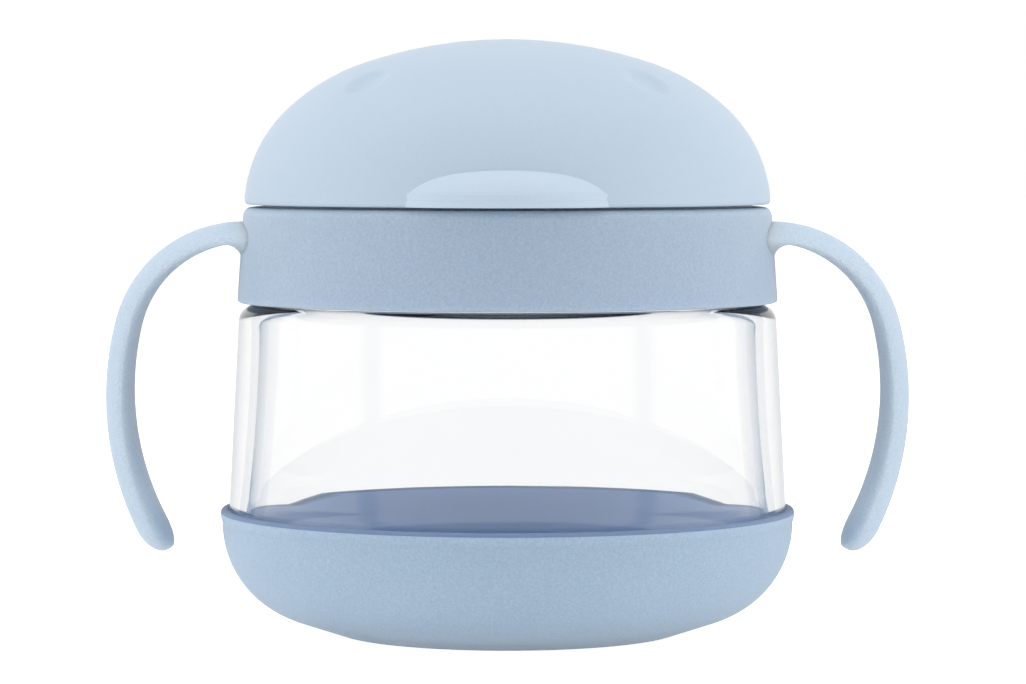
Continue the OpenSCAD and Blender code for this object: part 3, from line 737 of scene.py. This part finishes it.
# Painted light: the grip takes a paler copy of the lid's plastic, so that its front reads brighter.
paint(plastic("grip_polypropylene", srgb(206, 218, 229), 0.45, 0.018, 0.35), thumb)
paint(plastic("foot_elastomer", srgb(150, 165, 190), 0.7, 0.05, 0.25, sheen=0.1), "foot_pad")
paint(plastic("milky_polypropylene", srgb(200, 215, 231), 0.35, 0.01, 0.45), "spill_guard")
paint(plastic("white_silicone", srgb(228, 233, 238), 0.5, 0.02, 0.35, sheen=0.1), "jar_gasket", "lid_seal")
paint(clear_glass(), jar)
paint(base_cup_material(), cup)
paint(steel(), "hinge_pin")


# ------------------------------------------------------------------ floor, world, lamps, camera
FLOOR_HALF = 6.0
FLOOR_GREY = 0.85
FLOOR_GLOW_SEEN, FLOOR_GLOW_ON_OBJECT = 0.85, 0.2
WORLD_COLOUR, WORLD_STRENGTH = (0.87, 1.0, 1.13, 1), 0.42


def any_ray(tree, *kinds):
    """1 for rays of the given kinds, and 0 for the others."""
    path = tree.nodes.new("ShaderNodeLightPath")
    seen = path.outputs[kinds[0]]
    for kind in kinds[1:]:
        seen = calculate(tree, "MAXIMUM", seen, path.outputs[kind])
    return seen


def join(tree, kind, *sources):
    """A shader node of the given kind with its inputs linked in order."""
    made = tree.nodes.new(kind)
    for socket, source in zip(made.inputs, sources):
        tree.links.new(source, socket)
    return made.outputs[0]


def make_floor():
    """White for the camera, and plain white in reflections and through glass. It keeps shadows."""
    mesh = bpy.data.meshes.new("floor")
    h = FLOOR_HALF
    mesh.from_pydata([(-h, -h, 0), (h, -h, 0), (h, h, 0), (-h, h, 0)], [], [(0, 1, 2, 3)])
    floor = bpy.data.objects.new("floor", mesh)
    bpy.context.scene.collection.objects.link(floor)
    material = bpy.data.materials.new("floor_white")
    material.use_nodes = True
    tree = material.node_tree
    tree.nodes.clear()
    out = tree.nodes.new("ShaderNodeOutputMaterial")
    diffuse = node(tree, "ShaderNodeBsdfDiffuse", Color=(FLOOR_GREY, FLOOR_GREY, FLOOR_GREY, 1))
    glow = node(tree, "ShaderNodeEmission", Color=(1, 1, 1, 1))
    strength = remap(tree, any_ray(tree, "Is Camera Ray"), 0.0, 1.0, FLOOR_GLOW_ON_OBJECT, FLOOR_GLOW_SEEN)
    tree.links.new(strength, glow.inputs["Strength"])
    lit = join(tree, "ShaderNodeAddShader", diffuse.outputs[0], glow.outputs[0])
    white = node(tree, "ShaderNodeEmission", Color=(1, 1, 1, 1))
    indirect = any_ray(tree, "Is Glossy Ray", "Is Transmission Ray")
    blend = join(tree, "ShaderNodeMixShader", indirect, lit, white.outputs[0])
    tree.links.new(blend, out.inputs["Surface"])
    floor.data.materials.append(material)


def make_world():
    """White where it is seen, directly or through glass, and a soft cool light on the object."""
    world = bpy.data.worlds.new("studio")
    bpy.context.scene.world = world
    world.use_nodes = True
    tree = world.node_tree
    tree.nodes.clear()
    out = tree.nodes.new("ShaderNodeOutputWorld")
    white = node(tree, "ShaderNodeBackground", Color=(1, 1, 1, 1))
    soft = node(tree, "ShaderNodeBackground", Color=WORLD_COLOUR, Strength=WORLD_STRENGTH)
    seen = any_ray(tree, "Is Camera Ray", "Is Glossy Ray", "Is Transmission Ray")
    blend = join(tree, "ShaderNodeMixShader", seen, soft.outputs[0], white.outputs[0])
    tree.links.new(blend, out.inputs["Surface"])


def lamp(name, place, aim_z, size, power):
    """A rectangular softbox that points at the object's axis, at the height aim_z."""
    data = bpy.data.lights.new(name, "AREA")
    data.shape = "RECTANGLE"
    data.size, data.size_y = size
    data.energy = power
    made = bpy.data.objects.new(name, data)
    made.location = place
    made.rotation_euler = (Vector((0, 0, aim_z)) - Vector(place)).to_track_quat("-Z", "Y").to_euler()
    bpy.context.scene.collection.objects.link(made)
    made.visible_camera = False
    made.visible_glossy = False
    made.visible_transmission = False


make_floor()
make_world()
for side in (-1, 1):
    lamp("side_softbox", (side * 0.95, -0.27, 0.23), 0.05, (0.7, 0.44), 2.7)
    lamp("rear_softbox", (side * 0.95, 0.12, 0.45), 0.05, (0.7, 0.44), 0.55)
lamp("top_softbox", (0, 0.05, 1.0), 0.08, (1.0, 0.8), 4.6)
lamp("front_top_softbox", (0, -0.75, 0.85), 0.08, (1.0, 0.8), 0.9)

CAMERA_LOOKS_DOWN = 2.76  # degrees
camera_data = bpy.data.cameras.new("camera")
camera_data.lens = 141.4
camera_data.sensor_width = 36
camera_data.clip_start = 0.05
camera_data.clip_end = 20
camera = bpy.data.objects.new("camera", camera_data)
camera.location = (0.00096, -0.705, 0.0847)
camera.rotation_euler = (math.radians(90 - CAMERA_LOOKS_DOWN), 0, 0)
bpy.context.scene.collection.objects.link(camera)
bpy.context.scene.camera = camera

bpy.context.scene.view_settings.view_transform = "Standard"
